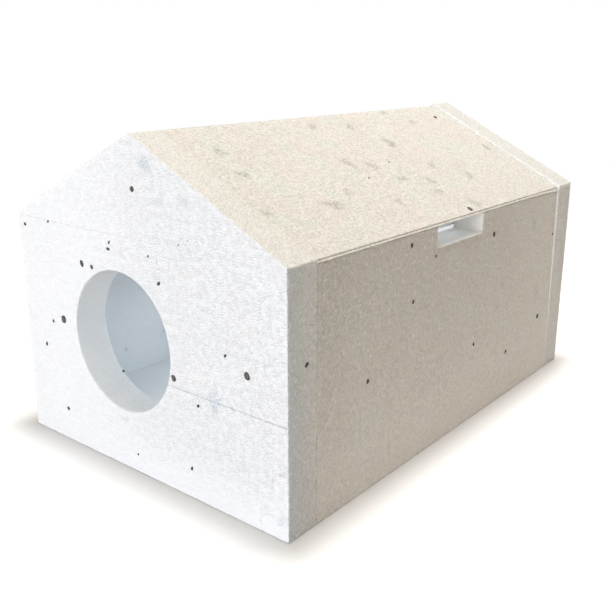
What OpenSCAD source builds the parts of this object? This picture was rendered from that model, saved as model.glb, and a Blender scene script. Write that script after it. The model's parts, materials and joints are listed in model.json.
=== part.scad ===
// Gable-roofed cat house cut from sheets of bead foam.
// The end panels, side walls and floor are glued into an open box.
// The roof is a glued chevron that drops between the end panels onto the side walls and lifts straight off.
// Millimetres. Origin on the ground under the middle of the house, +Z up, the entrance faces -Y.

/* [House] */
// Length from the front face to the rear face
house_length = 600; // [450:10:900]
// Width over the side walls
house_width = 400; // [340:10:560]
// Height of the roof's outer surface above the ground at the eaves
eave_height = 260; // [240:5:360]
// Height of the ridge above the eaves
ridge_rise = 100; // [70:5:150]

/* [Foam sheets] */
// Thickness of the front panel
front_t = 40; // [25:1:60]
// Thickness of the rear panel
rear_t = 40; // [25:1:60]
// Thickness of each side wall
wall_t = 40; // [25:1:50]
// Thickness of the floor
floor_t = 40; // [25:1:55]
// Thickness of each roof slab, square to its slope
roof_t = 40; // [30:1:60]

/* [Entrance] */
// Diameter of the round entrance
entrance_d = 152; // [120:1:170]
// Sideways place of the entrance's centre, negative towards the left wall
entrance_offset = -30; // [-40:1:40]
// Height of the entrance's centre above the ground
entrance_height = 142; // [130:1:160]

/* [Finger slots] */
// Length of the slot under each eave
slot_length = 102; // [60:1:200]
// Depth of the slot below the top of the wall
slot_height = 23; // [15:1:45]
// Place of the slot's middle along the house, negative towards the front
slot_centre = -2.5; // [-80:0.5:80]

/* [Roof fit] */
// Height of the roof's outer edge, between the eave and the seat on the wall
eave_lip = 4; // [2:0.5:10]
// Gap between the roof's inner tongue and the inside of each wall
tongue_gap = 1; // [0.5:0.1:3]
// Gap between each end of the roof and the end panel beside it
end_gap = 1; // [0.5:0.1:3]

/* [Rear panel] */
// How far the rear panel stands proud of the roof and of the walls at the eaves
rear_proud = 3; // [0.5:0.5:6]

/* [Glue joints] */
// Thickness of the glue between two panels
glue_t = 1; // [0.5:0.1:2]
// How far the glue stops short of the faces that show
glue_inset = 3; // [1:0.5:6]

/* [Hidden] */

$fn = 96;

// Extra length that lets a cut run past the faces it opens
cut_over = 1;

half_length = house_length / 2;
half_width = house_width / 2;
inner_half_width = half_width - wall_t;
ridge_height = eave_height + ridge_rise;
slope = ridge_rise / half_width;
pitch = atan(slope);
roof_t_upright = roof_t / cos(pitch);
seat_height = eave_height - eave_lip;

// The walls and the floor run between the two glue films
core_front_y = -half_length + front_t + glue_t;
core_rear_y = half_length - rear_t - glue_t;
core_length = core_rear_y - core_front_y;

// The roof runs between the two end panels
roof_front_y = -half_length + front_t + end_gap;
roof_length = half_length - rear_t - end_gap - roof_front_y;
tongue_x = inner_half_width - tongue_gap;

foam_colour = [0.94, 0.93, 0.90];
roof_colour = [0.93, 0.91, 0.86];
shade_colour = [0.86, 0.85, 0.81];
glue_colour = [0.86, 0.80, 0.62];

// Height of the roof's outer surface, and of its underside, at a distance x from the ridge
function roof_top(x) = ridge_height - slope * x;
function roof_under(x) = roof_top(x) - roof_t_upright;

// Extrudes an outline drawn in X and Z along +Y, from y
module sheet(y, thickness) {
    translate([0, y + thickness, 0])
        rotate([90, 0, 0])
            linear_extrude(thickness)
                children();
}

// Outline of the house seen from the front
module gable_outline() {
    polygon([
        [-half_width, 0], [half_width, 0],
        [half_width, eave_height], [0, ridge_height], [-half_width, eave_height]
    ]);
}

// The rear panel's outline is square to the ground at its foot and spreads to stand proud at the eaves
module rear_outline() {
    proud_upright = rear_proud / cos(pitch);
    corner_x = half_width + rear_proud;
    corner_z = roof_top(corner_x) + proud_upright;
    polygon([
        [-half_width, 0], [half_width, 0],
        [corner_x, corner_z], [0, ridge_height + proud_upright], [-corner_x, corner_z]
    ]);
}

module front_panel() {
    color(foam_colour)
        difference() {
            sheet(-half_length, front_t)
                gable_outline();
            translate([entrance_offset, -half_length + front_t + cut_over, entrance_height])
                rotate([90, 0, 0])
                    cylinder(d = entrance_d, h = front_t + 2 * cut_over);
        }
}

module rear_panel() {
    color(foam_colour)
        sheet(half_length - rear_t, rear_t)
            rear_outline();
}

// A side wall on the +X side, with the finger slot open at its top edge
module side_wall() {
    difference() {
        translate([inner_half_width, core_front_y, 0])
            cube([wall_t, core_length, seat_height]);
        translate([inner_half_width - cut_over, slot_centre - slot_length / 2, seat_height - slot_height])
            cube([wall_t + 2 * cut_over, slot_length, slot_height + cut_over]);
    }
}

module right_wall() {
    color(shade_colour)
        side_wall();
}

module left_wall() {
    color(shade_colour)
        mirror([1, 0, 0])
            side_wall();
}

module floor_panel() {
    floor_half = inner_half_width - glue_t;
    color(foam_colour)
        translate([-floor_half, core_front_y, 0])
            cube([2 * floor_half, core_length, floor_t]);
}

// A roof slab on the +X side: plumb cut at the ridge, level seat on the wall, tongue inside the wall
module roof_slab() {
    ridge_x = glue_t / 2;
    sheet(roof_front_y, roof_length)
        polygon([
            [ridge_x, roof_top(ridge_x)], [half_width, eave_height],
            [half_width, seat_height], [tongue_x, seat_height],
            [tongue_x, roof_under(tongue_x)], [ridge_x, roof_under(ridge_x)]
        ]);
}

module roof_right() {
    color(roof_colour)
        roof_slab();
}

module roof_left() {
    color(roof_colour)
        mirror([1, 0, 0])
            roof_slab();
}

// Glue between an end panel and the ends of the walls and floor, in the shape of a U
module end_glue(y) {
    outer_x = half_width - glue_inset;
    inner_x = inner_half_width + glue_inset;
    top_z = seat_height - glue_inset;
    color(glue_colour)
        sheet(y, glue_t)
            polygon([
                [-outer_x, glue_inset], [outer_x, glue_inset],
                [outer_x, top_z], [inner_x, top_z],
                [inner_x, floor_t - glue_inset], [-inner_x, floor_t - glue_inset],
                [-inner_x, top_z], [-outer_x, top_z]
            ]);
}

module front_joint_glue() {
    end_glue(-half_length + front_t);
}

module rear_joint_glue() {
    end_glue(half_length - rear_t - glue_t);
}

// Glue between the floor's +X edge and the wall
module floor_edge_glue() {
    color(glue_colour)
        translate([inner_half_width - glue_t, core_front_y + glue_inset, glue_inset])
            cube([glue_t, core_length - 2 * glue_inset, floor_t - 2 * glue_inset]);
}

module floor_right_glue() {
    floor_edge_glue();
}

module floor_left_glue() {
    mirror([1, 0, 0])
        floor_edge_glue();
}

module ridge_glue() {
    top_z = roof_top(glue_t / 2) - glue_inset;
    bottom_z = roof_under(glue_t / 2) + glue_inset;
    color(glue_colour)
        translate([-glue_t / 2, roof_front_y + glue_inset, bottom_z])
            cube([glue_t, roof_length - 2 * glue_inset, top_z - bottom_z]);
}

front_panel();
rear_panel();
left_wall();
right_wall();
floor_panel();
roof_left();
roof_right();
front_joint_glue();
rear_joint_glue();
floor_left_glue();
floor_right_glue();
ridge_glue();
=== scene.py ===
# %% [markdown]
# # A bead foam cat house, dressed in Blender
# The house is cut with a hot wire from thick sheets of white bead foam and glued into a box. A chevron roof
# drops between the end panels and lifts straight off. The model's solids come in first, as a fixed frame in
# metres, and every piece is put where its solid already is.

import json
import math
import random
from contextlib import contextmanager
from types import SimpleNamespace

import bmesh
import bpy
import numpy as np
from mathutils import Matrix, Vector


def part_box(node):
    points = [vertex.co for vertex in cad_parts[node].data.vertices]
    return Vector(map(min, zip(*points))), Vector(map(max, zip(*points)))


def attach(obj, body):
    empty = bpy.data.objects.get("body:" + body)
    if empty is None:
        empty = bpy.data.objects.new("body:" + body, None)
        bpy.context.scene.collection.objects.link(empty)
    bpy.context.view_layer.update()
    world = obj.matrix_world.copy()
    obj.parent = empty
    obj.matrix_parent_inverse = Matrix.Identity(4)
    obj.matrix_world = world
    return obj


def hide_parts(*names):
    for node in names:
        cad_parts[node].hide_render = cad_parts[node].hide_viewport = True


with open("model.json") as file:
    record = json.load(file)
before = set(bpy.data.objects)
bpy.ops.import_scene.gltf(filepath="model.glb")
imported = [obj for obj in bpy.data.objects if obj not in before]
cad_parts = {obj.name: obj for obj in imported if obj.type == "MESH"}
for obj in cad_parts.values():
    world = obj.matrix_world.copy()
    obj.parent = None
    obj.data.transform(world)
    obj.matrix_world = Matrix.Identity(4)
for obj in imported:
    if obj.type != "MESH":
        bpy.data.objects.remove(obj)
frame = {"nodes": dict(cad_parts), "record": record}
scene = bpy.context.scene
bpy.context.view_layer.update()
MM = 0.001
print("solids:", sorted(frame["nodes"]))

# %% [markdown]
# ## Sizes
# No size is typed twice. A node's box gives its outer faces, and its corner points give slopes and slots. If
# the solids change, the dressed panels follow them.

# %% Read the sizes from the solids
def corner_points(node):
    """A solid's corner points, in metres."""
    return np.array([v.co for v in frame["nodes"][node].data.vertices])


front_low, front_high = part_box("front_panel")
rear_low, rear_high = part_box("rear_panel")
half_width = front_high.x
ridge_z = front_high.z
front_corners = corner_points("front_panel")
eave_z = front_corners[front_corners[:, 0] > half_width - MM][:, 2].max()
slope = (ridge_z - eave_z) / half_width
pitch = math.atan(slope)
print(f"width {2 * half_width:.3f} m, eaves {eave_z:.3f} m, ridge {ridge_z:.3f} m, slope {slope:.2f}")

# %% [markdown]
# ## Camera
# The house is seen from its front right, a little from above. The camera is given as a position, an
# azimuth, an elevation and a slight roll. The shift moves the house out of the middle of the picture.

# %% Place the camera
camera_place = Vector((630.7, -795.0, 435.1)) * MM
azimuth, elevation, roll = (math.radians(a) for a in (38.07, 14.45, 0.378))

aim = (Matrix.Rotation(azimuth, 4, "Z") @ Matrix.Rotation(math.pi / 2 - elevation, 4, "X")
       @ Matrix.Rotation(roll, 4, "Z"))
lens = bpy.data.cameras.new("camera")
lens.sensor_width = 36
lens.lens = 47.97
lens.shift_x, lens.shift_y = -0.0374, -0.0708
lens.clip_start, lens.clip_end = 0.01, 100
camera = bpy.data.objects.new("camera", lens)
scene.collection.objects.link(camera)
camera.matrix_world = Matrix.Translation(camera_place) @ aim
scene.camera = camera
print("camera at", [round(x, 3) for x in camera.location])

# %% [markdown]
# ## Working on a block by hand
# Every panel starts as a cube at its size and place. In edit mode it is sliced, and points are moved, cut out
# or bridged. Operators act on what is selected, so these helpers pick points, edges or faces by their place.

# %% Helpers for edit mode
def choose(*pieces):
    """Selects these pieces alone and makes the first one active."""
    bpy.ops.object.select_all(action="DESELECT")
    for piece in pieces:
        piece.select_set(True)
    bpy.context.view_layer.objects.active = pieces[0]


@contextmanager
def editing(piece):
    """Edit mode on one piece, with nothing else selected."""
    choose(piece)
    bpy.ops.object.mode_set(mode="EDIT")
    yield
    bpy.ops.object.mode_set(mode="OBJECT")


def block(name, low, high):
    """A cube primitive from one corner to the other."""
    low, high = Vector(low), Vector(high)
    bpy.ops.mesh.primitive_cube_add(size=1, location=(low + high) / 2, scale=high - low)
    bpy.ops.object.transform_apply()
    bpy.context.object.name = name
    return bpy.context.object


def pick(piece, kind, test):
    """In edit mode, selects each vertex, edge or face whose middle point passes the test."""
    bpy.ops.mesh.select_mode(type=kind)
    bpy.ops.mesh.select_all(action="DESELECT")
    mesh = bmesh.from_edit_mesh(piece.data)
    for item in {"VERT": mesh.verts, "EDGE": mesh.edges, "FACE": mesh.faces}[kind]:
        points = [item.co] if kind == "VERT" else [v.co for v in item.verts]
        if test(sum(points, Vector()) / len(points)):
            item.select_set(True)
    mesh.select_flush_mode()
    bmesh.update_edit_mesh(piece.data)


def slice_at(place, normal):
    """In edit mode, cuts the whole mesh along a plane and leaves both sides joined."""
    bpy.ops.mesh.select_all(action="SELECT")
    bpy.ops.mesh.bisect(plane_co=place, plane_no=normal)


def face_outwards():
    """In edit mode, turns the normals of all faces outwards."""
    bpy.ops.mesh.select_all(action="SELECT")
    bpy.ops.mesh.normals_make_consistent()


def shift(piece, test, move):
    """In edit mode, moves the points that pass the test."""
    pick(piece, "VERT", test)
    bpy.ops.transform.translate(value=move)


TOUCHING = 0.05 * MM


def near(a, b):
    return abs(a - b) < TOUCHING


print("helpers ready")

# %% [markdown]
# ## From a block to a sheet of foam
# Foam has bumps everywhere, so a panel needs many small faces. Loop cuts need a window, but the same grid
# comes from selecting a long edge, growing that to its edge ring and subdividing the ring, a hundred cuts at
# most. The sharp edges are then bevelled, except where two sheets are pressed together in a fine seam.

# %% Helpers for the foam sheet
MOST_CUTS = 100
LONGEST_EDGE = 1.9  # in grid steps: a longer edge is divided again
SHARP = math.radians(30)
sharp_lines = {}


def in_seam(edge, seams):
    """Whether an edge lies in one of the (axis, place) planes where sheets are pressed together."""
    return any(all(near(v.co[axis], place) for v in edge.verts) for axis, place in seams)


def note_sharp_edges(piece, seams):
    """Remembers the block's open edges, which later get the wear."""
    mesh = bmesh.new()
    mesh.from_mesh(piece.data)
    sharp_lines[piece.name] = [[np.array(v.co) for v in e.verts] for e in mesh.edges
                               if e.calc_face_angle(0) > SHARP and not in_seam(e, seams)]
    mesh.free()


def fine_grid(piece, step):
    """Splits every edge ring until no edge is much longer than the step."""
    with editing(piece):
        bpy.ops.mesh.select_mode(type="EDGE")
        while True:
            mesh = bmesh.from_edit_mesh(piece.data)
            longest = max(mesh.edges, key=lambda e: e.calc_length())
            if longest.calc_length() < LONGEST_EDGE * step:
                break
            bpy.ops.mesh.select_all(action="DESELECT")
            longest.select_set(True)
            bmesh.update_edit_mesh(piece.data)
            bpy.ops.mesh.loop_multi_select(ring=True)
            lengths = [e.calc_length() for e in bmesh.from_edit_mesh(piece.data).edges if e.select]
            parts = max(2, round(sum(lengths) / len(lengths) / step))
            if parts > MOST_CUTS:
                parts = math.ceil(parts / MOST_CUTS)
            bpy.ops.mesh.subdivide(number_cuts=parts - 1)


def apply_modifier(piece, kind, **settings):
    """Adds a modifier, sets it up and applies it."""
    choose(piece)
    modifier = piece.modifiers.new(kind.lower(), kind)
    for key, value in settings.items():
        setattr(modifier, key, value)
    bpy.ops.object.modifier_apply(modifier=modifier.name)


def foam_sheet(piece, step, edge_round, seams=()):
    """Turns a shaped block into a finely divided sheet with slightly rounded edges."""
    note_sharp_edges(piece, seams)
    fine_grid(piece, step)
    with editing(piece):
        bpy.ops.mesh.select_mode(type="EDGE")
        bpy.ops.mesh.select_all(action="DESELECT")
        mesh = bmesh.from_edit_mesh(piece.data)
        for edge in mesh.edges:
            edge.select_set(edge.calc_face_angle(0) > SHARP and edge.is_convex and not in_seam(edge, seams))
        bmesh.update_edit_mesh(piece.data)
        bpy.ops.mesh.bevel(offset=edge_round, segments=2, clamp_overlap=True)
    print(f"{piece.name}: {len(piece.data.polygons)} faces")


# %% [markdown]
# ## Front panel
# A five-sided end panel with the round entrance. The block is sliced down the middle and its two top points
# are lifted to the ridge. The entrance is cut with a Boolean. The cutter's ends flare, so that it leaves a
# small slanted rim, as a hot wire does where it enters and leaves the foam.

# %% Shape the end panels
X_AXIS, Y_AXIS, Z_AXIS = 0, 1, 2
FOOT = (Z_AXIS, 0.0)  # the plane that the house stands on


def gable(name, low, high, foot, corner, apex):
    """An end panel: foot is its half width on the ground, corner the eave's (x, z), apex the ridge's z."""
    piece = block(name, (-foot, low.y, 0), (foot, high.y, corner[1]))
    with editing(piece):
        slice_at((0, 0, 0), (1, 0, 0))
        shift(piece, lambda p: near(p.x, 0) and p.z > MM, (0, 0, apex - corner[1]))
        for side in (-1, 1):
            shift(piece, lambda p: p.x * side > foot / 2 and p.z > MM, (side * (corner[0] - foot), 0, 0))
    return piece


FRONT_GRID, FRONT_ROUND = 1.8 * MM, 0.5 * MM
front = gable("front_panel_foam", front_low, front_high, half_width, (half_width, eave_z), ridge_z)
foam_sheet(front, FRONT_GRID, FRONT_ROUND, [(Y_AXIS, front_high.y), FOOT])

# %% Cut the entrance
entrance = [m for m in frame["record"]["mounts"] if m["name"] == "entrance"][0]
hole_x, _, hole_z = entrance["pos_m"]
hole_r = entrance["dims"]["r_mm"] * MM
panel_middle = (front_low.y + front_high.y) / 2
FLARE = 1.0 * MM  # depth of the slanted rim
FLARE_RUN = 1.6 * FLARE  # the cutter's flared ends run on past the sheet's faces
CUTTER_SIDES, CUTTER_ROWS = 200, 18

bpy.ops.mesh.primitive_cylinder_add(vertices=CUTTER_SIDES, radius=hole_r, rotation=(math.pi / 2, 0, 0),
                                    depth=front_high.y - front_low.y - 2 * FLARE,
                                    location=(hole_x, panel_middle, hole_z))
bpy.ops.object.transform_apply()
cutter = bpy.context.object
with editing(cutter):
    pick(cutter, "EDGE", lambda p: near(p.y, panel_middle))
    bpy.ops.mesh.subdivide(number_cuts=CUTTER_ROWS)
    grow = 1 + FLARE_RUN / hole_r
    for end, outwards in ((front_low.y + FLARE, -1), (front_high.y - FLARE, 1)):
        pick(cutter, "FACE", lambda p: near(p.y, end))
        bpy.ops.mesh.extrude_region_move(TRANSFORM_OT_translate={"value": (0, FLARE_RUN * outwards, 0)})
        bpy.ops.transform.resize(value=(grow, 1, grow), center_override=(hole_x, end, hole_z))
apply_modifier(front, "BOOLEAN", object=cutter, operation="DIFFERENCE", solver="EXACT")
bpy.data.objects.remove(cutter)
print("entrance:", round(2000 * hole_r), "mm across,", len(front.data.polygons), "faces")

# %% [markdown]
# ## Rear panel
# The same five-sided panel without an entrance. It was cut a little larger than the front one: its edge
# stands proud of the roof, and of the walls near the eaves. The wire cut its upper front edge aslant, so that
# edge faces the light and shows as a bright line.

# %% Shape the rear panel
rear_corners = corner_points("rear_panel")
rear_corner = rear_corners[rear_corners[:, 0].argmax()]
rear_foot = rear_corners[rear_corners[:, 2] < MM][:, 0].max()
REAR_GRID, REAR_ROUND = 2.0 * MM, 0.6 * MM
SLANT = 1.2 * MM  # how far back the slanted edge is cut
rear = gable("rear_panel_foam", rear_low, rear_high, rear_foot, (rear_corner[0], rear_corner[2]), rear_high.z)
foam_sheet(rear, REAR_GRID, REAR_ROUND, [FOOT])
with editing(rear):
    shift(rear, lambda p: p.y < rear_low.y + 1.1 * REAR_ROUND
          and rear_high.z - slope * abs(p.x) - p.z < 1.3 * REAR_ROUND, (0, SLANT, 0))

# %% [markdown]
# ## Side walls
# Each wall is a flat sheet with a finger slot in its top edge. After three slices the slot's outer faces are
# deleted and the two open chains of edges are bridged, which makes its floor and both ends in one go. A thin
# lip of melted foam is pulled out along its outer lower edge. The right wall was cut a little low near the
# rear, so the seam under its eave opens there.

# %% Shape the walls
SEAM_PRESS = 0.7 * MM  # how far the pressed foam of a sheet closes a seam at its end
wall_end, wall_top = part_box("right_wall")[1].yz
wall_corners = corner_points("right_wall")
slot_corners = wall_corners[(wall_corners[:, 2] > MM) & (wall_corners[:, 2] < wall_top - MM)]
slot_z = slot_corners[:, 2].min()
slot_from, slot_to = slot_corners[:, 1].min(), slot_corners[:, 1].max()
print(f"slot {1000 * (slot_to - slot_from):.0f} x {1000 * (wall_top - slot_z):.0f} mm")


def side_wall(name, node):
    """A wall between the end panels, with the finger slot open at its top."""
    low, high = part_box(node)
    low, high = low - Vector((0, SEAM_PRESS, 0)), high + Vector((0, SEAM_PRESS, 0))
    piece = block(name, low, high)
    with editing(piece):
        for y in (slot_from, slot_to):
            slice_at((0, y, 0), (0, 1, 0))
        slice_at((0, 0, slot_z), (0, 0, 1))
        pick(piece, "FACE", lambda p: slot_from + MM < p.y < slot_to - MM and p.z > slot_z + MM)
        bpy.ops.mesh.delete(type="FACE")
        pick(piece, "EDGE", lambda p: slot_from - MM < p.y < slot_to + MM and p.z > slot_z - MM
             and (near(p.x, low.x) or near(p.x, high.x)))
        bpy.ops.mesh.bridge_edge_loops()
        face_outwards()
    return piece


LOW_CUT_FROM, LOW_CUT = 170 * MM, 2.6 * MM  # where the right wall's top starts to fall, and its fall
right_wall = side_wall("right_wall_foam", "right_wall")
with editing(right_wall):
    slice_at((0, LOW_CUT_FROM, 0), (0, 1, 0))
    shift(right_wall, lambda p: p.z > wall_top - MM and p.y > wall_end - MM, (0, 0, -LOW_CUT))
left_wall = side_wall("left_wall_foam", "left_wall")
WALL_GRID, WALL_ROUND = 2.0 * MM, 0.9 * MM
MELT_LIP = 1.8 * MM  # how far melted foam stands out along the slot's outer lower edge
wall_seams = [(Y_AXIS, -wall_end - SEAM_PRESS), (Y_AXIS, wall_end + SEAM_PRESS), FOOT]
for wall, side in ((right_wall, 1), (left_wall, -1)):
    foam_sheet(wall, WALL_GRID, WALL_ROUND, wall_seams)
    with editing(wall):
        shift(wall, lambda p: slot_from < p.y < slot_to and p.x * side > half_width - 0.6 * WALL_ROUND
              and slot_z - 1.3 * WALL_ROUND < p.z < slot_z, (MELT_LIP * side, 0, 0))

# %% [markdown]
# ## Floor
# A plain sheet between the walls. It is hardly seen, so its grid is coarser.

# %% Shape the floor
FLOOR_GRID, FLOOR_ROUND = 2.4 * MM, 0.8 * MM
floor_low, floor_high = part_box("floor_panel")
pressed = Vector((SEAM_PRESS, SEAM_PRESS, 0))
floor_low, floor_high = floor_low - pressed, floor_high + pressed
floor_sheet = block("floor_panel_foam", floor_low, floor_high)
foam_sheet(floor_sheet, FLOOR_GRID, FLOOR_ROUND,
           [(axis, corner[axis]) for corner in (floor_low, floor_high) for axis in (X_AXIS, Y_AXIS)])

# %% [markdown]
# ## Roof slabs
# A slab is cut plumb at the ridge and has a level seat on the wall, with a tongue inside it. The block is
# sheared to the roof's pitch, sliced along the pitch at the height of the seat, and its upper outer face is
# extruded over the wall. The thin outer lip was squeezed when it was cut, so rows of its points are moved in
# and out. Over the low end of the right wall it hangs down with the cut.

# %% Shape the roof
ROOF_GRID, ROOF_ROUND = 2.0 * MM, 0.4 * MM
LIP_PARTS = 4  # the outer lip is parted into this many rows
LIP_ROWS = ((1, -1.3 * MM), (2, 0.3 * MM), (3, 1.3 * MM))  # rows below the eave, and their move outwards
LIP_SAG = 0.9  # part of the low cut that the lip follows


def roof_slab(name, node, side, low_cut):
    """A slab on one side. low_cut is how far the wall under its rear end was cut low."""
    low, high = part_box(node)
    points = corner_points(node) * (side, 1, 1)
    ridge_x, eave_x = points[:, 0].min(), points[:, 0].max()
    seat_z = points[points[:, 0] > eave_x - MM][:, 2].min()
    tongue_x = points[points[:, 2] < low.z + MM][:, 0].max()
    top_z = high.z
    under_z = points[points[:, 0] < ridge_x + MM][:, 2].min()
    drop = slope * (tongue_x - ridge_x)
    front_y, rear_y = low.y - SEAM_PRESS, high.y + SEAM_PRESS
    across = sorted((side * ridge_x, side * tongue_x))
    piece = block(name, (across[0], front_y, under_z), (across[1], rear_y, top_z))
    with editing(piece):
        shift(piece, lambda p: near(side * p.x, tongue_x), (0, 0, -drop))
        slice_at((side * tongue_x, 0, seat_z), (side * math.sin(pitch), 0, math.cos(pitch)))
        pick(piece, "FACE", lambda p: near(side * p.x, tongue_x) and p.z > seat_z)
        bpy.ops.mesh.extrude_region_move(TRANSFORM_OT_translate={"value": (side * (eave_x - tongue_x), 0, 0)})
        shift(piece, lambda p: near(side * p.x, eave_x) and p.z > seat_z + MM, (0, 0, eave_z - (top_z - drop)))
        face_outwards()
        pick(piece, "EDGE", lambda p: near(side * p.x, eave_x) and near(p.z, (eave_z + seat_z) / 2))
        bpy.ops.mesh.loop_multi_select(ring=True)
        bpy.ops.mesh.subdivide(number_cuts=LIP_PARTS - 1)
        row, sag = (eave_z - seat_z) / LIP_PARTS, LIP_SAG * low_cut / LIP_PARTS
        slice_at((0, LOW_CUT_FROM, 0), (0, 1, 0))
        for rows_down in range(LIP_PARTS, 0, -1):
            shift(piece, lambda p: near(side * p.x, eave_x) and near(p.z, eave_z - rows_down * row)
                  and near(p.y, rear_y), (0, 0, -rows_down * sag))
        for rows_down, outwards in LIP_ROWS:
            rest, sagged = eave_z - rows_down * row, eave_z - rows_down * (row + sag)
            shift(piece, lambda p: near(side * p.x, eave_x) and (near(p.z, rest) and p.y < LOW_CUT_FROM + MM
                  or near(p.z, sagged) and p.y > LOW_CUT_FROM + MM), (outwards * side, 0, 0))
    foam_sheet(piece, ROOF_GRID, ROOF_ROUND, [(Y_AXIS, front_y), (Y_AXIS, rear_y)])
    return piece


roof_right = roof_slab("roof_right_foam", "roof_right", 1, LOW_CUT)
roof_left = roof_slab("roof_left_foam", "roof_left", -1, 0)

# %% [markdown]
# ## Relief of the beads
# A hot wire melts a skin on the cut beads, so the sheet is never quite flat: beads stand up a little, the wire
# waves, and edges lose crumbs. Displace modifiers with procedural textures do all three, and a vertex group
# holds the wear to the edges.

# %% Roughen the sheets
WEAR_REACH = 4 * MM  # wear fades out at this distance from an edge
LEAST_WEAR = 0.02
WAVE_DEPTH, BEAD_HEIGHT = 0.5 * MM, -0.35 * MM
CRUMB_LOSS, END_CRUMB_LOSS = 0.7 * MM, 0.4 * MM  # the end panels' edges are crisper
panels = {"front_panel": front, "rear_panel": rear, "left_wall": left_wall, "right_wall": right_wall,
          "floor_panel": floor_sheet, "roof_left": roof_left, "roof_right": roof_right}


def relief(name, kind, size, contrast=1.0):
    texture = bpy.data.textures.new(name, kind)
    texture.noise_scale, texture.contrast = size, contrast
    return texture


def points_of(piece):
    flat = np.zeros(3 * len(piece.data.vertices))
    piece.data.vertices.foreach_get("co", flat)
    return flat.reshape(-1, 3)


def edge_distance(piece):
    """How far each point is from the sheet's nearest real edge."""
    points = points_of(piece)
    best = np.full(len(points), 1.0)
    for a, b in sharp_lines[piece.name]:
        along = np.clip((points - a) @ (b - a) / ((b - a) @ (b - a)), 0, 1)
        best = np.minimum(best, np.linalg.norm(points - a - along[:, None] * (b - a), axis=1))
    if piece is front:
        rim = np.hypot(points[:, 0] - hole_x, points[:, 2] - hole_z) - hole_r
        for y in (front_low.y, front_high.y):
            best = np.minimum(best, np.hypot(rim, points[:, 1] - y))
    return best


def wear_of(piece):
    """1 on an edge, falling to 0 away from it."""
    return np.clip(1 - edge_distance(piece) / WEAR_REACH, 0, 1)


wave_relief = relief("wave_relief", "CLOUDS", 45 * MM)
bead_relief = relief("bead_relief", "VORONOI", 4.5 * MM)
crumb_relief = relief("crumb_relief", "CLOUDS", 5 * MM, contrast=1.8)
for piece in panels.values():
    wear = wear_of(piece) ** 2
    group = piece.vertex_groups.new(name="worn_edge")
    for index in np.nonzero(wear > LEAST_WEAR)[0]:
        group.add([int(index)], float(wear[index]), "REPLACE")
    crumb_loss = END_CRUMB_LOSS if piece in (front, rear) else CRUMB_LOSS
    for texture, depth, level, held_to in (
            (wave_relief, WAVE_DEPTH, 0.5, ""), (bead_relief, BEAD_HEIGHT, 0.4, ""),
            (crumb_relief, crumb_loss, 0.9, "worn_edge")):
        apply_modifier(piece, "DISPLACE", texture=texture, strength=depth, mid_level=level,
                       vertex_group=held_to)
    bpy.ops.object.shade_smooth_by_angle(angle=math.radians(35))
    triangles = sum(len(p.vertices) - 2 for p in piece.data.polygons)
    print(f"{piece.name}: {triangles} triangles")

# %% [markdown]
# ## Where the marks are
# The foam holds recycled beads: dark ones, and clusters of greyish ones that make pale blotches. On the faces
# that are seen, each mark is listed, in rounded millimetres on that face. The others get a few of the
# same marks from a seeded random generator.

# %% Name the faces
down = Vector((math.cos(pitch), 0, -math.sin(pitch)))
mirrored = Vector((-1, 1, 1))
X, Y, Z = Vector((1, 0, 0)), Vector((0, 1, 0)), Vector((0, 0, 1))
inside_left_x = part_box("left_wall")[1].x
inside_right_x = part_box("right_wall")[0].x
floor_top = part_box("floor_panel")[1].z
roof_up = Vector((math.sin(pitch), 0, math.cos(pitch)))
low_left = math.radians(229)  # where the entrance holds a dark bead, seen from its centre
rim_in = Vector((-math.cos(low_left), 0, -math.sin(low_left)))
rim_point = Vector((hole_x, front_high.y - MM, hole_z)) - rim_in * hole_r
# face: (panel, a point of it, direction of the first and of the second measure, outward normal)
FACES = {
    "front": ("front_panel", Y * front_low.y, X, Z, -Y),
    "front side": ("front_panel", X * half_width, Y, Z, X),
    "rear": ("rear_panel", Y * rear_high.y, X, Z, Y),
    "right": ("right_wall", X * half_width, Y, Z, X),
    "left": ("left_wall", X * -half_width, Y, Z, -X),
    "roof right": ("roof_right", Z * ridge_z, Y, down, roof_up),
    "roof left": ("roof_left", Z * ridge_z, Y, down * mirrored, roof_up * mirrored),
    "left inside": ("left_wall", X * inside_left_x, Y, Z, X),
    "right inside": ("right_wall", X * inside_right_x, Y, Z, -X),
    "rear inside": ("rear_panel", Y * rear_low.y, X, Z, -Y),
    "floor": ("floor_panel", Z * floor_top, X, Y, Z),
    "entrance": ("front_panel", rim_point, Y, rim_in.cross(Y), rim_in),
}
print(len(FACES), "faces carry marks")

# %% Place the marks
# dark beads: face, then (first measure, second measure, length) in mm, and for some the lean in degrees
DARK_BEADS = {
    "front": [(-190, 246, 4), (-144, 255, 3), (2, 306, 5.5, -15), (-39, 247, 4, 25), (-41, 240, 5, 90),
              (-88, 217, 7, -20), (-71, 216, 4.5, -25), (21, 242, 2.8, 30), (35, 217, 5.2, 40),
              (-129, 146, 8, -15), (-149, 140, 4), (-166, 109, 5), (51, 123, 6.6, -35), (124, 164, 3.8, 40),
              (151, 151, 7.4, -20), (85, 103, 4, 65), (-133, 38, 4.8, -40), (-11, 20, 2.5), (73, 32, 4),
              (66, 260, 1.2), (79, 266, 1)],
    "right": [(-106, 245, 5, 15), (-57, 224, 3, 15), (78, 225, 6, 20), (256, 195, 3, 15), (-100, 183, 4, 20),
              (224, 85, 6.5, 20), (-180, 120, 5), (40, 96, 4), (130, 60, 5)],
    "roof right": [(222, 30, 6), (25, 217, 7.5, 0), (-67, 131, 2.3), (0, 110, 1.7)],
    "entrance": [(0, 0, 3)],
    "front side": [(-274.5, 166.5, 5, 43)],
}
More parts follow.
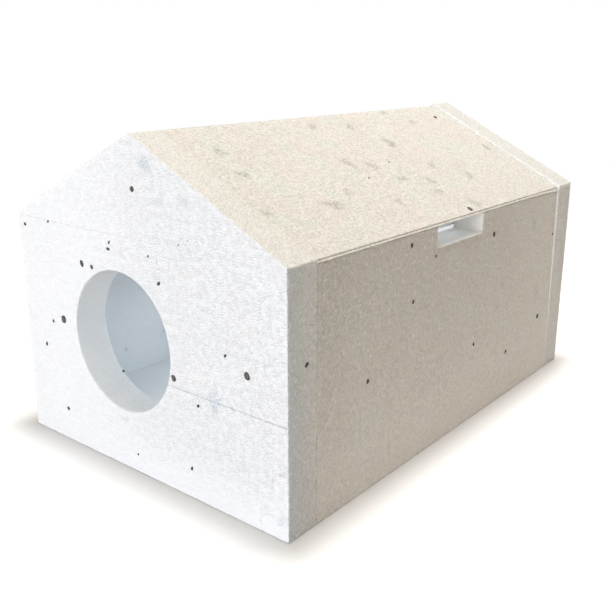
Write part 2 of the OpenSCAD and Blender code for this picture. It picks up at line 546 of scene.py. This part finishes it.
# blotches: face, then (first measure, second measure, width, strength)
BLOTCHES = {
    "front": [(22, 332, 18, 0.9), (74, 303, 14, 0.5), (42, 298, 14, 0.5), (108, 113, 20, 1), (-30, 54, 12, 0.5),
              (33, 223, 13, 0.5), (-19, 240, 9, 0.5), (192, 19, 12, 0.7), (169, 27, 9, 0.4), (132, 113, 5, 0.9),
              (-103, 83, 4, 0.9)],
    "right": [(214, 121, 16, 0.4), (111, 156, 14, 0.35), (192, 219, 15, 0.4)],
    "left inside": [(-195, 72, 6, 0.9), (-133, 80, 16, 0.5)],
    "roof right": [(-222, 49, 15, 1), (-46, 23, 14, 1), (17, 31, 13, 1), (122, 7, 12, 0.8), (49, 74, 20, 1.1),
                   (-68, 99, 16, 0.9), (-35, 112, 16, 0.9), (-16, 144, 16, 0.8), (27, 158, 14, 0.8),
                   (68, 130, 13, 0.9), (110, 164, 15, 0.8), (235, 115, 14, 1), (-163, 161, 20, 0.9),
                   (15, 179, 14, 0.7), (153, 35, 12, 0.8), (-227, 90, 14, 0.9), (-255, 151, 12, 0.7),
                   (-69, 179, 14, 0.7), (48, 211, 18, 0.7), (-124, 146, 13, 0.7)],
}
# faces out of sight: how many dark beads and blotches, and the room for them, in mm
SCATTER = {
    "rear": (12, 10, (-185, 185), (15, 250)),
    "left": (10, 8, (-240, 240), (15, 215)),
    "roof left": (6, 14, (-240, 240), (12, 205)),
    "left inside": (4, 4, (40, 240), (60, 215)),
    "right inside": (5, 4, (-240, 240), (50, 215)),
    "rear inside": (5, 4, (-150, 150), (50, 230)),
    "floor": (6, 5, (-150, 150), (-250, 250)),
}
draw = random.Random(7)
for face, (beads, blotches, first, second) in SCATTER.items():
    DARK_BEADS.setdefault(face, []).extend(
        (draw.uniform(*first), draw.uniform(*second), draw.uniform(3, 7)) for _ in range(beads))
    BLOTCHES.setdefault(face, []).extend(
        (draw.uniform(*first), draw.uniform(*second), draw.uniform(10, 18), draw.uniform(0.5, 1))
        for _ in range(blotches))
print(sum(map(len, DARK_BEADS.values())), "dark beads,", sum(map(len, BLOTCHES.values())), "blotches")

# %% Paint wear and blotches on the points
CABIN_ROOM = 30 * MM  # the cabin's faces lie at least this far below the roof's outer surface
ENTRANCE_CALM = 0.85
RAGGED = ((2, 0.22), (3, 0.16), (5, 0.1))  # waves round a blotch's outline, and how high they are
BLOTCH_EDGE, BLOTCH_FADE = 1.35, 0.9  # in half widths


def store(piece, name, values):
    attribute = piece.data.attributes.new(name, "FLOAT", "POINT")
    attribute.data.foreach_set("value", np.asarray(values, np.float32))


def smooth(t):
    t = np.clip(t, 0, 1)
    return t * t * (3 - 2 * t)


def between(values, low, high):
    return (values > low) & (values < high)


def calm_surface(points):
    """1 inside the cabin and the slots, where a slow cut sealed the beads, and less in the entrance."""
    x, y, z = np.abs(points[:, 0]), points[:, 1], points[:, 2]
    cabin = ((x < inside_right_x + MM) & between(y, front_high.y - MM, rear_low.y + MM)
             & between(z, floor_top - MM, ridge_z - slope * x - CABIN_ROOM))
    slot = (between(x, inside_right_x, half_width - MM) & between(y, slot_from - MM, slot_to + MM)
            & between(z, slot_z - MM, wall_top - MM))
    entrance_wall = ((np.hypot(points[:, 0] - hole_x, z - hole_z) < hole_r + 0.6 * MM)
                     & between(y, front_low.y + 1.5 * MM, front_high.y))
    above_foot = smooth((z - hole_z + 0.95 * hole_r) / (0.5 * hole_r))
    return np.maximum(cabin | slot, entrance_wall * ENTRANCE_CALM * above_foot)


def marks_on(node, marks):
    """A panel's marks, each with the origin and the directions of its face."""
    for face, rows in marks.items():
        panel, *axes = FACES[face]
        if panel == node:
            yield from ((axes, row) for row in rows)


blotch_draw = random.Random(11)
for node, piece in panels.items():
    points = points_of(piece)
    store(piece, "edge_wear_and_highlight", wear_of(piece))
    store(piece, "calm", calm_surface(points))
    blotch = np.zeros(len(points))
    for (origin, *axes), (mark_a, mark_b, width, strength) in marks_on(node, BLOTCHES):
        a, b, depth = ((points - np.array(origin)) @ np.array(axis) for axis in axes)
        da, db = a - mark_a * MM, b - mark_b * MM
        turn = np.arctan2(db, da)
        ragged = sum((height * np.sin(waves * turn + blotch_draw.uniform(0, 2 * math.pi))
                      for waves, height in RAGGED), 1)
        reach = np.sqrt(da ** 2 + db ** 2 + depth ** 2) / (0.5 * width * MM * ragged)
        blotch = np.maximum(blotch, strength * smooth((BLOTCH_EDGE - reach) / BLOTCH_FADE))
    store(piece, "blotch", blotch)
print("wear and blotches stored on", len(panels), "panels")

# %% [markdown]
# ## Dark beads
# A dark bead that the wire has cut is a little puck, level with the sheet. One is modelled from a sphere
# whose upper points are pulled level. It is copied to every mark, stretched and turned. The copies of a panel
# are joined, and a random move of their points makes each a lump of its own.

# %% Model one dark bead
bpy.ops.mesh.primitive_uv_sphere_add(segments=12, ring_count=6, radius=0.5)
bead_master = bpy.context.object
bead_master.name = "bead_master"
BEAD_TOP = 0.3  # height of its flat top, as a part of its size
TOP_FROM, TOP_SPREAD, TOP_ROUND = 0.2, 1.12, 0.12
with editing(bead_master):
    pick(bead_master, "VERT", lambda p: p.z > TOP_FROM)
    bpy.ops.transform.resize(value=(TOP_SPREAD, TOP_SPREAD, TOP_ROUND), center_override=(0, 0, BEAD_TOP))
bpy.ops.object.shade_smooth()
master_points = points_of(bead_master)
store(bead_master, "rim", np.clip(np.hypot(master_points[:, 0], master_points[:, 1]) / 0.5, 0, 1))
print("one bead:", len(bead_master.data.polygons), "faces")

# %% Copy it to every mark
BEAD_GROWTH = 1.12  # a bead looks smaller than it is, since its rim is round
BEAD_DEPTH, BEAD_PROUD, BEAD_LUMPS = 2.4 * MM, 0.55 * MM, 0.7 * MM
SMALL_BEAD = 6  # in mm: shorter beads are narrow chips
NARROW, ROUND = (0.55, 0.7), (0.75, 0.95)  # widths, as parts of the length
DARK_LENGTH, PALE_LENGTH = 3, 7  # in mm: beads of this length are dark all over, or pale inside
ANY_TURN, PALENESS = (1.1, 2.2), (0.55, 1)  # ranges to draw from
bead_draw = random.Random(23)
bead_pieces = {}
for node in panels:
    copies = []
    for (origin, first, second, normal), (a, b, length, *lean) in marks_on(node, DARK_BEADS):
        copy = bead_master.copy()
        copy.data = bead_master.data.copy()
        scene.collection.objects.link(copy)
        turn = math.radians(90 - lean[0]) if lean else bead_draw.uniform(*ANY_TURN)
        long_way = first * math.cos(turn) + second * math.sin(turn)
        turned = Matrix((long_way, normal.cross(long_way), normal)).transposed().to_4x4()
        length = length * BEAD_GROWTH
        width = length * bead_draw.uniform(*(NARROW if length < SMALL_BEAD else ROUND))
        sizes = Vector((length * MM, width * MM, BEAD_DEPTH))
        place = origin + first * a * MM + second * b * MM + normal * (BEAD_PROUD - BEAD_TOP * BEAD_DEPTH)
        copy.matrix_world = Matrix.Translation(place) @ turned @ Matrix.Diagonal(sizes).to_4x4()
        pale = min(max((length - DARK_LENGTH) / (PALE_LENGTH - DARK_LENGTH), 0.05), 1)
        store(copy, "pale", np.full(len(copy.data.vertices), pale * bead_draw.uniform(*PALENESS)))
        copies.append(copy)
    choose(*copies)
    bpy.ops.object.join()
    bpy.ops.object.transform_apply()
    bead_pieces[node] = bpy.context.object
    bead_pieces[node].name = node + "_dark_beads"
    with editing(bead_pieces[node]):
        bpy.ops.mesh.select_all(action="SELECT")
        bpy.ops.transform.vertex_random(offset=BEAD_LUMPS, uniform=0.3, normal=0, seed=5)
        bpy.ops.mesh.vertices_smooth(factor=0.35, repeat=1)
    print(bead_pieces[node].name, len(copies))
bpy.data.objects.remove(bead_master)

# %% [markdown]
# ## Shader maths
# A material is a sum of a few patterns. Writing that sum as Python keeps it readable: this class wraps a
# socket, and each operator on it adds a Math node. Every other node comes from its node method.

# %% A socket that can be calculated with
class Wire:
    def __init__(self, tree, socket=None):
        self.tree, self.socket = tree, socket

    def node(self, kind, sockets=(), out=0, **settings):
        """Any shader node. sockets holds the values or wires of its inputs."""
        made = self.tree.nodes.new("ShaderNode" + kind)
        for key, value in settings.items():
            setattr(made, key, value)
        for key, value in dict(sockets).items():
            if isinstance(value, Wire):
                self.tree.links.new(value.socket, made.inputs[key])
            else:
                made.inputs[key].default_value = value
        return Wire(self.tree, made.outputs[out] if len(made.outputs) else None)

    def also(self, out):
        """Another output of the same node."""
        return Wire(self.tree, self.socket.node.outputs[out])

    def maths(self, operation, other=0):
        return self.node("Math", {0: self, 1: other}, operation=operation)

    def __add__(self, other):
        return self.maths("ADD", other)

    def __sub__(self, other):
        return self.maths("SUBTRACT", other)

    def __rsub__(self, other):
        return self.node("Math", {0: other, 1: self}, operation="SUBTRACT")

    def __mul__(self, other):
        return self.maths("MULTIPLY", other)

    def __abs__(self):
        return self.maths("ABSOLUTE")

    __radd__, __rmul__ = __add__, __mul__

    def step(self, low, high):
        """0 below low and 1 above high, with a soft step between. low may be the larger one."""
        sockets = {"Value": self, "From Min": low, "From Max": high, "To Min": 0, "To Max": 1}
        return self.node("MapRange", sockets, interpolation_type="SMOOTHSTEP")


MIX_SOCKETS = {"RGBA": (6, 7, 2), "FLOAT": (2, 3, 0)}  # of both inputs and of the output


def new_material(name):
    """An empty material, and a wire to start from."""
    material = bpy.data.materials.new(name)
    material.use_nodes = True
    material.node_tree.nodes.clear()
    return material, Wire(material.node_tree)


def dress(piece, material):
    """Gives a piece this material and no other."""
    piece.data.materials.clear()
    piece.data.materials.append(material)


def mix(factor, a, b, kind="RGBA"):
    first, second, out = MIX_SOCKETS[kind]
    return factor.node("Mix", {0: factor, first: a, second: b}, out, data_type=kind)


def stored(wire, name):
    """A value that was stored on the points."""
    return wire.node("Attribute", out="Fac", attribute_name=name)


def noise(wire, vector, scale, detail=2.0, rough=0.5):
    sockets = {"Vector": vector, "Scale": scale, "Detail": detail, "Roughness": rough}
    return wire.node("TexNoise", sockets, "Fac")


def voronoi(wire, vector, scale, feature="F1", dimensions="3D"):
    """A distance in a Voronoi pattern."""
    return wire.node("TexVoronoi", {"Vector": vector, "Scale": scale}, "Distance", feature=feature,
                     voronoi_dimensions=dimensions)


def cell_value(cells):
    """A random value for each cell of a Voronoi pattern."""
    return cells.node("SeparateColor", {"Color": cells.also("Color")}, "Red")


def finish_surface(wire, colour, rough, height, bump, reach, specular):
    """A Principled surface with its varying inputs, joined to the output."""
    normal = wire.node("Bump", {"Strength": bump, "Distance": reach, "Height": height})
    surface = wire.node("BsdfPrincipled", {"Base Color": colour, "Roughness": rough, "Normal": normal,
                                           "Specular IOR Level": specular})
    wire.node("OutputMaterial", {"Surface": surface})


print("shader helpers ready")

# %% [markdown]
# ## Foam finish
# Seen close, cut bead foam is a mosaic: each bead has its own shade of white, and thin grey crevices run
# where the wire hasn't sealed them. Voronoi cells make the mosaic, and their distance to an edge the crevices.
# The wire drags the skin along, across the end panels and upright on the walls, so the pattern is squeezed.

# %% Places and beads
MASK_FROM, MASK_TO = 1.5 * MM, 0.8 * MM  # a side's mask sets in between these depths


def places(wire):
    """A point's place, whole and along each axis."""
    point = wire.node("TexCoord", out="Object")
    x = wire.node("SeparateXYZ", {"Vector": point}, "X")
    return SimpleNamespace(point=point, x=x, y=x.also("Y"), z=x.also("Z"))


def add_masks(at):
    """Masks of the front face, of both outer sides and of the right one."""
    at.front = at.y.step(front_low.y + 1.0 * MM, front_low.y + 0.5 * MM)
    at.sides, at.right = (x.step(half_width - MASK_FROM, half_width - MASK_TO) for x in (abs(at.x), at.x))


def mosaic(wire, at, drag, beads):
    """Beads that wander and are squeezed: coordinates, and the distances to a middle and to an edge."""
    wander = noise(wire, at.point, 0.45 * beads).also("Color")
    moved = wire.node("VectorMath", {0: wander, 1: (0.8 / beads,) * 3, 2: at.point}, operation="MULTIPLY_ADD")
    dragged = wire.node("VectorMath", {0: moved, 1: drag}, operation="MULTIPLY")
    return dragged, voronoi(wire, dragged, beads), voronoi(wire, dragged, beads, "DISTANCE_TO_EDGE")


print("bead mosaic ready")

# %% [markdown]
# ## Marks and painted shade of single faces
# The outer sides get pale and dark dashes, painted highlights and shade of bead edges, and a few crumbs
# stick to them. The right wall has painted shade at the front panel, under the eave and in its slot, and
# painted light at its foot. On the front, two fine lines show where the wire stopped, and near its right
# edge two knocks pressed the skin smooth, each with a painted shadow arc along its upper left rim.

# %% Flecks, shades, lines and knocks
GLINT_DASHES, CRUMBS = 520, 60  # number per metre
FLECK_LEAN, FLECK_SQUEEZE = 0.3, 0.5
# reach of the painted shade at the wall's front seam, and depth of the painted shade on its slot's floor
SEAM_REACH, SLOT_SHADE = 80 * MM, 0.14
KNOCK_RAGGED = 12 * MM


def flecks(wire, at, strength, rarity):
    """Pale and dark dashes on the sides, painted highlights and shade of bead edges, as a change of tone,
    and a mask of the crumbs.
    """
    along, upwards = at.y - at.z * FLECK_LEAN, at.z * FLECK_SQUEEZE
    leaning = wire.node("CombineXYZ", {"X": at.x, "Y": along, "Z": upwards})
    glint_noise = noise(wire, leaning, GLINT_DASHES)
    glint_shade = glint_noise.step(rarity, rarity + 0.05) - glint_noise.step(0.36, 0.30) * 0.5
    flat = wire.node("CombineXYZ", {"X": along, "Y": upwards})
    crumb = voronoi(wire, flat, CRUMBS, dimensions="2D")
    crumbs = crumb.step(0.09, 0.03) * cell_value(crumb).step(0.3, 1)
    return glint_shade * at.sides * strength, crumbs * at.sides


def wall_shade(at, calm, at_seam, under_eave, at_foot):
    """Painted shade and light on a wall: how much darker it is at its front seam, under the eave and in its
    slot, or lighter at its foot.
    """
    seam = at.y.step(front_high.y + SEAM_REACH, front_high.y) * at_seam
    eave = at.z.step(40 * MM, eave_z) * at.y.step(rear_high.y, 30 * MM) * under_eave
    foot = at.z.step(110 * MM, 15 * MM) * at_foot
    slot_floor = calm * at.x.step(165 * MM, half_width) * at.z.step(slot_z + 4 * MM, slot_z + 1 * MM)
    return at.sides * (seam + eave - foot) + slot_floor * SLOT_SHADE


def wire_line(at, broken, height, faint_x, clear_x, depth):
    """Darkness of a fine level line on the front, faint at one x and clear at the other."""
    line = abs(at.z - height).step(0.9 * MM, 0.2 * MM) * at.front
    return line * (broken * 0.3 + 0.7) * at.x.step(faint_x, clear_x) * depth


def knock(wire, at, knock_x, knock_z, radius):
    """Masks of a ragged round spot on the front, and of a painted shadow arc round its upper left rim."""
    across, upwards = at.x - knock_x, at.z - knock_z
    ragged = (noise(wire, at.point, 130) - 0.5) * KNOCK_RAGGED
    away = (across * across + upwards * upwards).maths("SQRT") + ragged
    spot = away.step(radius + 2 * MM, radius - 3 * MM) * at.front
    arc_shadow = abs(away - radius).step(1.8 * MM, 0.4 * MM) * (upwards - across).step(0, 8 * MM) * at.front
    return spot, arc_shadow


print("marks of single faces ready")

# %% [markdown]
# ## One recipe for seven panels
# A tone starts at 1, and each pattern lightens or darkens it. It then scales a white that drifts between
# rosy and greenish. Blotches and crumbs come on top, and the beads also feed the bump.

# %% Write the recipe
ROSY, GREENISH = (1.008, 0.994, 0.990), (0.992, 1.004, 0.996)
CRUMB_WHITE = (0.96, 0.955, 0.94, 1)
DRIFT, TINTS, BREAKS, DOTS = 14, 24, 170, 430  # number per metre
ROOF_SPECK, ROOF_BEADS = 0.34, 850
BRIGHTEST = 1.12  # of the white: no foam gives back more light than it gets


def foam(name, white, blotch_tint, drag, beads, speck, grain, crevice, bump=0.8, wear_and_highlight=0.04, cloudy=1.0,
         fleck=None, shading=None, lit_smoothing=None, lines=(), knocks=(), roof_edge=None, shaded_side=None,
         side_shade=0):
    """Bead foam with so many beads per metre, which drag squeezes. speck, grain, crevice and bump are
    strengths, wear_and_highlight lightens edges for wear and, where set higher, as a painted highlight, and
    cloudy widens the drift of colour. lit_smoothing says where along x and z the front turns smoother and
    lighter, as painted light. roof_edge is the white beside the roof, shaded_side the whites of the right edge,
    painted shade."""
    material, wire = new_material(name)
    at = places(wire)
    add_masks(at)
    edge_wear_and_highlight, blotch, calm = (stored(wire, value) for value in ("edge_wear_and_highlight", "blotch", "calm"))
    dragged, bead, gap = mosaic(wire, at, drag, beads)
    tint = cell_value(bead)
    lively = 1 - calm * 0.8
    if roof_edge:
        beside_roof = (at.z + abs(at.x) * slope).step(ridge_z - 1.6 * MM, ridge_z - 0.8 * MM) * (1 - at.front)
        lively = lively * (1 - beside_roof * 0.6)

    broken = noise(wire, at.point, BREAKS).step(0.36, 0.62)
    crack = gap.step(0.17, 0.02) * (broken * 0.7 + 0.3) * lively
    level = 1
    # painted light: towards the front's left and its foot the foam gets fewer crevices and less bump, so it
    # reads smoother and lighter
    if lit_smoothing:
        full_grain = at.x.step(*lit_smoothing[0]) * at.z.step(*lit_smoothing[1])
        level = 1 - (1 - full_grain) * (1 - at.sides) * 0.6
        crack = crack * level
    streak = noise(wire, dragged, 1.4 * beads, 3, 0.6)
    # edges are lighter for wear, and on some panels more, as a painted highlight
    tone = 1 + ((tint - 0.5) * speck + (streak - 0.5) * grain) * lively - crack * crevice + edge_wear_and_highlight * wear_and_highlight
    tone = tone + (noise(wire, at.point, DRIFT) - 0.5) * 0.05
    # pale and dark dashes on the sides: painted highlights and shade of bead edges
    if fleck:
        glint_shade, crumbs = flecks(wire, at, *fleck)
        tone = tone + glint_shade
    # painted shade and light on the right wall
    if shading:
        tone = tone - wall_shade(at, calm, *shading)
    for line in lines:
        tone = tone - wire_line(at, broken, *line)
    for place in knocks:
        # the dark arc is a painted shadow along the knock's upper left rim
        spot, arc_shadow = knock(wire, at, *place)
        tone = mix(spot * 0.7, tone, 1.02, "FLOAT") - arc_shadow * (broken * 0.1 + 0.07)
        level = level * (1 - spot * 0.7)
    # painted shade: the front panel's right side is darker still
    if side_shade:
        tone = tone - at.x.step(half_width - 0.9 * MM, half_width - 0.3 * MM) * side_shade

    rosy, greenish = (tuple(w * (1 + (t - 1) * cloudy) for w, t in zip(white, tints)) + (1,)
                      for tints in (ROSY, GREENISH))
    colour = mix(noise(wire, at.point, TINTS).step(0.36, 0.64), rosy, greenish)
    # painted shade: the right sides get greyer whites, on the front panel darker towards its front
    if shaded_side:
        side = mix(at.y.step(front_low.y, front_high.y), *(edge + (1,) for edge in shaded_side))
        colour = mix(at.right, colour, side)
    if roof_edge:
        colour = mix(beside_roof, colour, roof_edge + (1,))
        tone = tone + (cell_value(voronoi(wire, at.point, ROOF_BEADS)) - 0.5) * beside_roof * ROOF_SPECK
    tone = tone.maths("MINIMUM", BRIGHTEST)
    colour = wire.node("VectorMath", {0: colour, "Scale": tone}, operation="SCALE")
    dots = noise(wire, at.point, DOTS).step(0.45, 0.58)
    colour = mix(blotch * (dots * 0.72 + 0.14), colour, blotch_tint)
    height = ((1 - bead) * 0.5 + streak * 0.4) * lively * level - crack * 0.8
    if fleck:
        colour = mix(crumbs, colour, CRUMB_WHITE)
        height = height + crumbs * 0.5
    rough = 0.8 + (tint.also("Green") - 0.5) * 0.16 + crack * 0.1
    finish_surface(wire, colour, rough, height, bump, 1.0 * MM, 0.35)
    return material


print("recipe ready")

# %% Dress the panels
ACROSS, UPRIGHT, LENGTHWAYS = (0.55, 1, 1), (1, 1, 0.6), (1, 0.5, 1)
GREY_GREEN, TEAL_GREY = (0.38, 0.41, 0.36, 1), (0.52, 0.60, 0.67, 1)
WHITE = (0.873, 0.882, 0.887)
# cream whites, warmer than the front's white, for the roof, the rear panel and the strips beside the roof:
# painted warm light from above
WARM_LIT_CREAM, WARM_LIT_PALE_CREAM = (0.885, 0.872, 0.837), (0.86, 0.868, 0.845)
# taupe and grey whites, darker than the left wall's white: painted shade on the right wall and on the right
# sides of the end panels
SHADED_TAUPE, SHADED_PALE_TAUPE = (0.835, 0.799, 0.751), (0.835, 0.827, 0.783)
SHADED_GREY_TAUPE, SHADED_COOL_GREY = (0.83, 0.808, 0.783), (0.765, 0.79, 0.81)
# fine lines of the wire: height, the x where each is faint and where it is clear, and its depth of tone
WIRE_LINES = ((256 * MM, 190 * MM, -60 * MM, 0.12), (113.5 * MM, -120 * MM, 130 * MM, 0.34))
KNOCKS = ((176 * MM, 10 * MM, 11 * MM), (192 * MM, 54 * MM, 11 * MM))  # x, z and radius
LIT_SMOOTHING = ((-130 * MM, 70 * MM), (5 * MM, 65 * MM))  # from smoother and lighter to full grain, along x and along z: painted light
END = dict(blotch_tint=TEAL_GREY, drag=ACROSS, beads=420)
WALL = dict(drag=UPRIGHT, beads=380, speck=0.06, grain=0.15, crevice=0.12, fleck=(0.26, 0.6))
ROOF = dict(white=WARM_LIT_CREAM, blotch_tint=GREY_GREEN, drag=LENGTHWAYS, beads=ROOF_BEADS, speck=ROOF_SPECK,
            grain=0.2, crevice=0.1, bump=0.35, cloudy=2)
FOAMS = {
    "front_panel": foam("front_foam", WHITE, speck=0.04, grain=0.09, crevice=0.06, cloudy=0.3,
                        fleck=(0.3, 0.58), lit_smoothing=LIT_SMOOTHING, lines=WIRE_LINES, knocks=KNOCKS, roof_edge=WARM_LIT_CREAM,
                        shaded_side=(SHADED_COOL_GREY, SHADED_PALE_TAUPE), side_shade=0.07, **END),
    # the rear's edges are lightened more: a painted highlight, as along the proud line over the roof
    "rear_panel": foam("rear_foam", WARM_LIT_CREAM, speck=0.05, grain=0.12, crevice=0.12, wear_and_highlight=0.11,
                       fleck=(0.12, 0.61), roof_edge=WARM_LIT_PALE_CREAM, shaded_side=(SHADED_GREY_TAUPE, SHADED_GREY_TAUPE), **END),
    "left_wall": foam("left_wall_foam", WHITE, TEAL_GREY, **WALL),
    # the right wall's edges are lightened more: a painted highlight, as along the slot's lower rim
    "right_wall": foam("right_wall_foam", SHADED_TAUPE, GREY_GREEN, wear_and_highlight=0.13,
                       # painted shade at the front seam, under the eave and in the slot, and painted light at
                       # the foot
                       shading=(0.05, 0.11, 0.06), **WALL),
    "floor_panel": foam("floor_foam", WHITE, GREY_GREEN, LENGTHWAYS, 380, speck=0.05, grain=0.12, crevice=0.12),
    "roof_left": foam("roof_left_foam", **ROOF),
    "roof_right": foam("roof_right_foam", **ROOF),
}
for node, piece in panels.items():
    dress(piece, FOAMS[node])
print(len(FOAMS), "foam finishes")

# %% [markdown]
# ## Dark bead finish
# A large dark bead is mottled grey inside a dark rim, and a small one is dark all over. For that the rim and a
# paleness were stored on the points of each.

# %% Make the dark beads' finish
material, wire = new_material("dark_bead")
place = places(wire).point
rim, pale = stored(wire, "rim"), stored(wire, "pale")
mottle = noise(wire, place, 700, 3, 0.6)
middle = rim.step(1.0, 0.6) * pale * (mottle.step(0.38, 0.6) * 0.8 + 0.2)
BLACK_BROWN, BEAD_GREY = (0.024, 0.021, 0.017, 1), (0.17, 0.168, 0.16, 1)
colour = mix(middle, BLACK_BROWN, BEAD_GREY)
finish_surface(wire, colour, 0.65 + (mottle - 0.5) * 0.3, mottle, 0.5, 0.4 * MM, 0.4)
for piece in bead_pieces.values():
    dress(piece, material)
print("dark beads finished on", len(bead_pieces), "panels")

# %% [markdown]
# ## Glue finish
# The glue films keep their own solids, since their shape is right. Foam glue is cream, uneven and slightly
# glossy. It lies deep in the seams.

# %% Make the glue
material, wire = new_material("foam_glue")
place = places(wire).point
swirl = noise(wire, place, 90, 4, 0.6)
bubble = voronoi(wire, place, 420)
DARK_GLUE, PALE_GLUE = (0.74, 0.68, 0.50, 1), (0.84, 0.80, 0.66, 1)
colour = mix(swirl.step(0.3, 0.7), DARK_GLUE, PALE_GLUE)
finish_surface(wire, colour, 0.42 + swirl * 0.2, swirl * 0.6 + bubble * 0.4, 0.4, 0.4 * MM, 0.5)
glue_nodes = [n for n in frame["nodes"] if n.endswith("glue")]
for node in glue_nodes:
    dress(frame["nodes"][node], material)
print("glue on", glue_nodes)

# %% [markdown]
# ## Which piece moves with what
# The roof is one body that slides straight up, and everything else is the base. Each sheet stands for its
# solid, and its dark beads go with it.

# %% Let the pieces ride
for node, piece in panels.items():
    body = "roof" if node.startswith("roof") else "base"
    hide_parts(node)
    for part in (piece, bead_pieces[node]):
        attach(part, body)
print("riding:", len(panels) + len(bead_pieces), "pieces")

# %% [markdown]
# ## Floor and light
# The house stands on a white floor in soft light: a large cool lamp far in front, warm ones above and behind,
# and a pale warm world. Foam lets some light through, so weak bluish lamps brighten the cabin, the entrance and
# the slots. For the camera the floor gets some white of its own, which fades near the house: that keeps its
# shadow and also paints a soft shadow band round the house.

# %% Lay the floor
FLOOR_SIZE, FLOOR_CELLS, FLOOR_DROP = 40, 40, 0.6 * MM
FLOOR_WHITE, FLOOR_LIFT = 0.78, 0.5
# painted shadow: within this reach of the house the floor's own white fades out
SHADOW_REACH = (-5 * MM, 48 * MM)
PURE_WHITE = (0.35, 1.1)  # metres from the house between which the floor turns white
bpy.ops.mesh.primitive_grid_add(x_subdivisions=FLOOR_CELLS, y_subdivisions=FLOOR_CELLS, size=FLOOR_SIZE)
ground = bpy.context.object
ground.name = "studio_floor"
with editing(ground):
    bpy.ops.mesh.select_all(action="SELECT")
    bpy.ops.transform.translate(value=(0, 0, -FLOOR_DROP))


def seen(wire):
    """1 for what the camera sees, also by way of gloss or glass, and 0 for the light that is given."""
    path = wire.node("LightPath", out="Is Camera Ray")
    either = path.maths("MAXIMUM", path.also("Is Glossy Ray"))
    return either.maths("MAXIMUM", path.also("Is Transmission Ray"))


material, wire = new_material("studio_floor")
at = places(wire)
out_x = (abs(at.x) - half_width).maths("MAXIMUM")
out_y = (abs(at.y) - rear_high.y).maths("MAXIMUM")
out = (out_x * out_x + out_y * out_y).maths("SQRT")
in_view = seen(wire)
matt = wire.node("BsdfDiffuse", {"Color": (FLOOR_WHITE, FLOOR_WHITE, FLOOR_WHITE, 1)})
# the fading white paints a soft shadow band round the house
glow = wire.node("Emission", {"Strength": out.step(*SHADOW_REACH) * FLOOR_LIFT * in_view})
lit = wire.node("AddShader", {0: matt, 1: glow})
white = wire.node("Emission", {"Strength": 1.0})
both = wire.node("MixShader", {0: out.step(*PURE_WHITE) * in_view, 1: lit, 2: white})
wire.node("OutputMaterial", {"Surface": both})
dress(ground, material)
print("floor laid")

# %% Light the world
AMBIENT, AMBIENT_STRENGTH = (1.0, 0.86, 0.70, 1), 0.32
world = bpy.data.worlds.new("studio")
scene.world = world
world.use_nodes = True
world.node_tree.nodes.clear()
wire = Wire(world.node_tree)
ambient = wire.node("Background", {"Color": AMBIENT, "Strength": AMBIENT_STRENGTH})
white = wire.node("Background", {"Color": (1, 1, 1, 1), "Strength": 1.0})
both = wire.node("MixShader", {0: seen(wire), 1: ambient, 2: white})
wire.node("OutputWorld", {"Surface": both})
print("world lit")

# %% Hang the lamps
def lamp(name, place, aim, size, power, colour):
    """A soft lamp that looks at a point. size is its width and length."""
    data = bpy.data.lights.new(name, "AREA")
    data.energy, data.color, data.shape = power, colour, "RECTANGLE"
    data.size, data.size_y = size
    made = bpy.data.objects.new(name, data)
    scene.collection.objects.link(made)
    made.location = place
    made.rotation_euler = (Vector(aim) - Vector(place)).to_track_quat("-Z", "Y").to_euler()
    made.visible_camera = False


COOL, WARM = (0.86, 0.91, 1.0), (1.0, 0.975, 0.92)
BLUE_SHADE, PALE_BLUE, LILAC = (0.35, 0.62, 1.0), (0.78, 0.89, 1.0), (0.88, 0.89, 1.0)
ICE, SKY = (0.9, 0.95, 1.0), (0.7, 0.84, 1.0)
lamp("front", (0.4, -5.0, 0.6), (0, 0, 0.12), (1.6, 1.1), 162, COOL)
lamp("top_front", (0.2, -0.3, 2.5), (0, 0, 0.2), (1.8, 1.8), 19, WARM)
lamp("top_rear", (0.2, 1.0, 2.3), (0, 0, 0.2), (1.6, 1.6), 24, WARM)
lamp("rear_fill", (-1.8, 2.2, 1.2), (0, 0, 0.15), (1.6, 1.6), 20, WARM)
lamp("cabin_glow", (0.14, -0.06, 0.23), (-0.12, -0.14, 0.08), (0.1, 0.1), 0.04, BLUE_SHADE)
lamp("cabin_floor_glow", (0.02, -0.13, 0.17), (0, -0.15, 0.04), (0.1, 0.1), 0.168, PALE_BLUE)
lamp("cabin_rear_glow", (0.06, 0.12, 0.20), (0.04, 0.26, 0.19), (0.06, 0.06), 0.12, LILAC)
lamp("entrance_glow", (hole_x, panel_middle, hole_z + 0.8 * hole_r), (hole_x, panel_middle, 0),
     (0.06, 0.03), 0.009, ICE)
slot_y = (slot_from + slot_to) / 2
for slot_x in (-0.18, 0.18):
    lamp("slot_glow", (slot_x, slot_y, wall_top - 0.7 * MM), (slot_x, slot_y, 0), (0.036, 0.09), 0.0067, SKY)
scene.view_settings.view_transform = "Standard"
